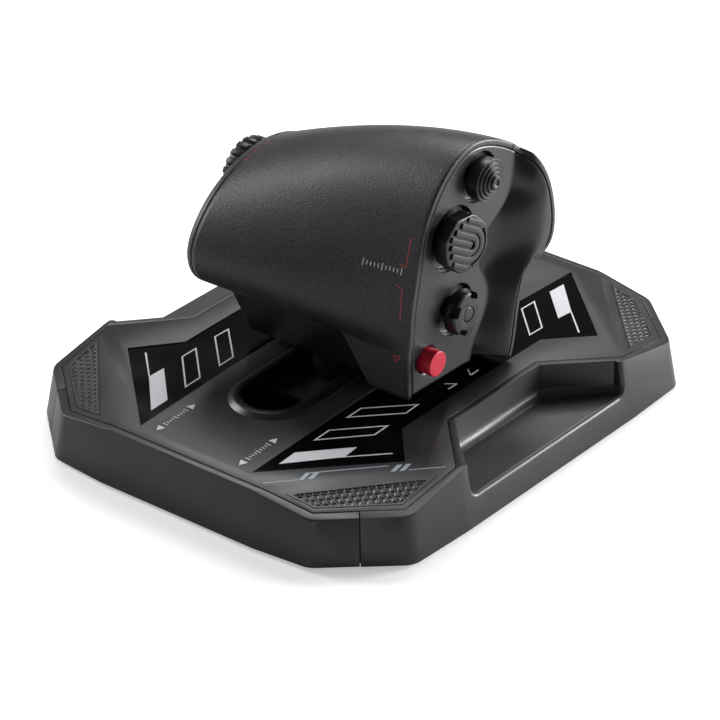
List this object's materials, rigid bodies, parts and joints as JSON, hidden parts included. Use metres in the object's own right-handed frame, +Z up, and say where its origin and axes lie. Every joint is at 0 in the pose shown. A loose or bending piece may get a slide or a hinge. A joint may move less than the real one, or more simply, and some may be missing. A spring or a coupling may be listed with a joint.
{
  "type": "throttle quadrant",
  "caption": "Desk throttle quadrant: a wide hand grip that slides fore and aft on a low crowned base, with thumb hats, a push button and a ridged wheel.",
  "frame": {"origin": "on the desk, at the centre of the base's footprint", "axes": "+Z up; +Y forward, the way the grip is pushed, along the base's longest side; +X towards the thumb side of the grip, where the hats are"},
  "size_m": [0.1994, 0.243, 0.1362],
  "materials": {
    "shell_plastic": "fine-grain moulded ABS, satin",
    "plate_plastic": "moulded ABS, satin, dark grey",
    "dark_plastic": "moulded ABS, near black",
    "grain_plastic": "speckled grain-textured ABS",
    "inlay_gloss": "printed gloss sheet",
    "pad_rubber": "knurled soft-touch pad",
    "foot_rubber": "plain rubber",
    "control_plastic": "satin nylon",
    "red_plastic": "moulded red cap",
    "steel": "ground rod",
    "zinc_steel": "zinc-plated",
    "bush_plastic": "acetal",
    "board_green": "solder mask",
    "magnet_nickel": "nickel-plated magnet"
  },
  "bodies": {
    "base": {"bottom_pan": "dark_plastic", "top_plate": "plate_plastic", "front_bumper": "shell_plastic", "rear_bumper": "shell_plastic", "left_side_shell": "shell_plastic", "right_side_shell": "shell_plastic", "slot_bezel": "dark_plastic", "left_inlay": "inlay_gloss", "right_inlay": "inlay_gloss", "pad_front_left": "pad_rubber", "pad_front_right": "pad_rubber", "pad_rear_left": "pad_rubber", "pad_rear_right": "pad_rubber", "rubber_feet": "foot_rubber", "base_screws": "zinc_steel", "guide_rod_left": "steel", "guide_rod_right": "steel", "rod_block_front": "dark_plastic", "rod_block_rear": "dark_plastic", "main_board": "board_green", "usb_socket": "zinc_steel", "sensor_board": "board_green"},
    "slider": {"carriage_block": "dark_plastic", "carriage_bushings": "bush_plastic", "sensor_magnet": "magnet_nickel", "slot_cover": "plate_plastic", "neck": "dark_plastic", "grip_hull": "dark_plastic", "palm_shell": "grain_plastic", "finger_shell": "grain_plastic", "thumb_panel": "shell_plastic", "end_cap": "grain_plastic", "grip_board": "board_green", "top_hat_switch": "dark_plastic", "middle_hat_switch": "dark_plastic", "lower_hat_switch": "dark_plastic", "red_button_switch": "dark_plastic", "knob_encoder": "dark_plastic"},
    "top_hat_gimbal": {"top_hat_gimbal": "bush_plastic"},
    "top_hat": {"top_hat": "control_plastic"},
    "middle_hat_gimbal": {"middle_hat_gimbal": "bush_plastic"},
    "middle_hat": {"middle_hat": "control_plastic"},
    "lower_hat_gimbal": {"lower_hat_gimbal": "bush_plastic"},
    "lower_hat": {"lower_hat": "control_plastic"},
    "centre_button": {"centre_button": "control_plastic"},
    "red_button": {"red_button": "red_plastic"},
    "rotary_knob": {"rotary_knob": "control_plastic"}
  },
  "joints": [
    {"name": "throttle_slide", "type": "slide", "parent": "base", "child": "slider", "axis": [0, 1, 0], "range_m": [-0.04, 0.04]},
    {"name": "top_hat_tilt_front_back", "type": "hinge", "parent": "slider", "child": "top_hat_gimbal", "pos_m": [0.0455, 0.0069, 0.12], "axis": [0, 0, 1], "range_deg": [-6, 6], "stiffness_Nm_per_rad": 0.05},
    {"name": "top_hat_tilt_up_down", "type": "hinge", "parent": "top_hat_gimbal", "child": "top_hat", "pos_m": [0.0455, 0.0069, 0.12], "axis": [0, 1, 0], "range_deg": [-6, 6], "stiffness_Nm_per_rad": 0.05},
    {"name": "middle_hat_tilt_front_back", "type": "hinge", "parent": "slider", "child": "middle_hat_gimbal", "pos_m": [0.0455, -0.0103, 0.099], "axis": [0, 0, 1], "range_deg": [-6, 6], "stiffness_Nm_per_rad": 0.05},
    {"name": "middle_hat_tilt_up_down", "type": "hinge", "parent": "middle_hat_gimbal", "child": "middle_hat", "pos_m": [0.0455, -0.0103, 0.099], "axis": [0, 1, 0], "range_deg": [-6, 6], "stiffness_Nm_per_rad": 0.05},
    {"name": "lower_hat_tilt_front_back", "type": "hinge", "parent": "slider", "child": "lower_hat_gimbal", "pos_m": [0.0455, -0.0077, 0.0655], "axis": [0, 0, 1], "range_deg": [-6, 6], "stiffness_Nm_per_rad": 0.05},
    {"name": "lower_hat_tilt_up_down", "type": "hinge", "parent": "lower_hat_gimbal", "child": "lower_hat", "pos_m": [0.0455, -0.0077, 0.0655], "axis": [0, 1, 0], "range_deg": [-6, 6], "stiffness_Nm_per_rad": 0.05},
    {"name": "centre_button_push", "type": "slide", "parent": "lower_hat", "child": "centre_button", "axis": [-1, 0, 0], "range_m": [0, 0.0009], "stiffness_N_per_m": 600},
    {"name": "red_button_push", "type": "slide", "parent": "slider", "child": "red_button", "axis": [-1, 0, 0], "range_m": [0, 0.0016], "stiffness_N_per_m": 600},
    {"name": "knob_turn", "type": "hinge", "parent": "slider", "child": "rotary_knob", "pos_m": [-0.057, -0.0042, 0.091], "axis": [1, 0, 0], "range_deg": [-60, 60]}
  ]
}
